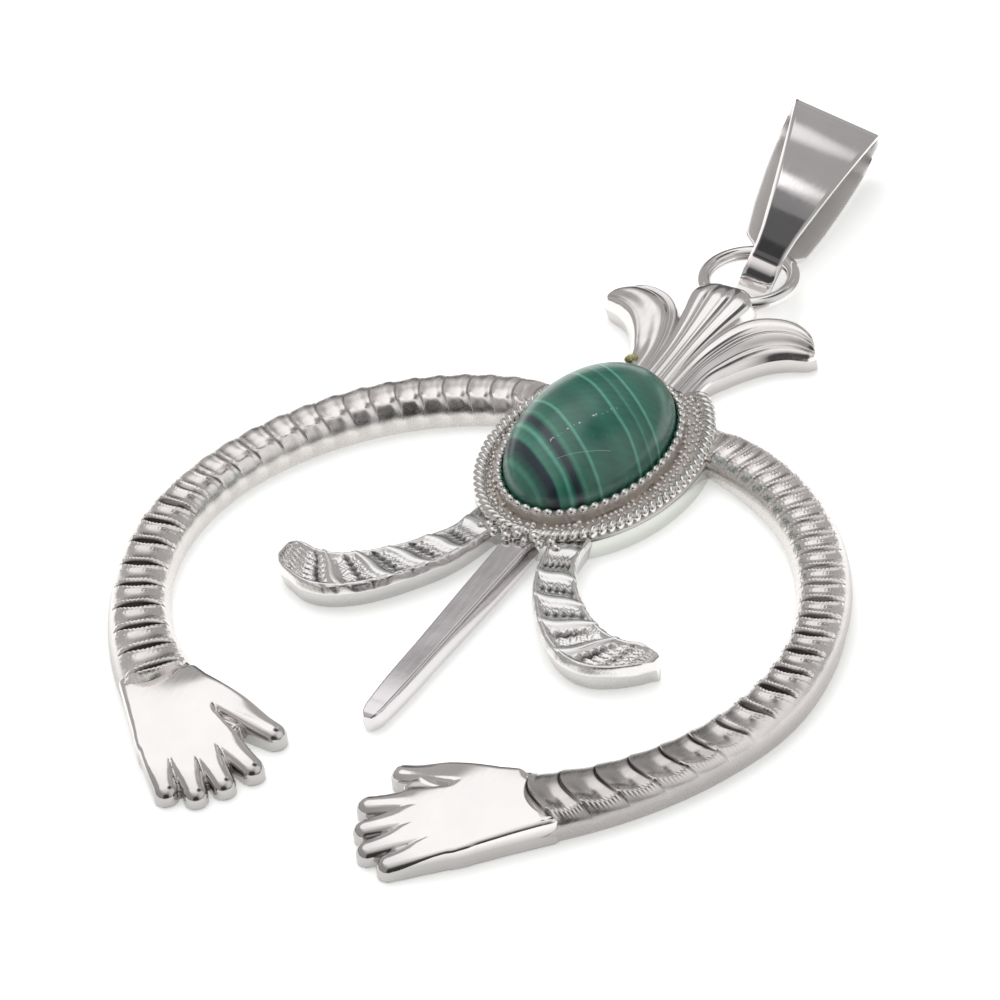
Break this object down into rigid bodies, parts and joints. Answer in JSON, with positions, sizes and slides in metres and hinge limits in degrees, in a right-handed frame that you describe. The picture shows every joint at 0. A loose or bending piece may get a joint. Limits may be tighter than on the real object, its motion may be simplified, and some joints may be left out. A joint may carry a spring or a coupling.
{
  "type": "naja pendant",
  "caption": "Silver-coloured naja pendant: ribbed crescent arms ending in open hands, oval malachite in a rope-edged mount, blossom, leaves, blade and folded bail.",
  "frame": {"origin": "on the flat back, under the middle of the oval plate", "axes": "+Y runs up the pendant to the bail, +X to the wearer-facing viewer's right, +Z out of the front"},
  "size_m": [0.058, 0.0959, 0.008],
  "materials": {
    "polished_metal": "gloss",
    "malachite": "gloss",
    "bail_metal": "gloss"
  },
  "bodies": {
    "pendant": {"cast_frame": "polished_metal", "stone": "malachite"},
    "bail_body": {"bail": "bail_metal"}
  },
  "joints": [
    {"name": "bail_swing", "type": "hinge", "parent": "pendant", "child": "bail_body", "pos_m": [0.0005, 0.02909, 0.0026], "axis": [0.9487, -0.0663, -0.309], "range_deg": [0, 110]}
  ]
}
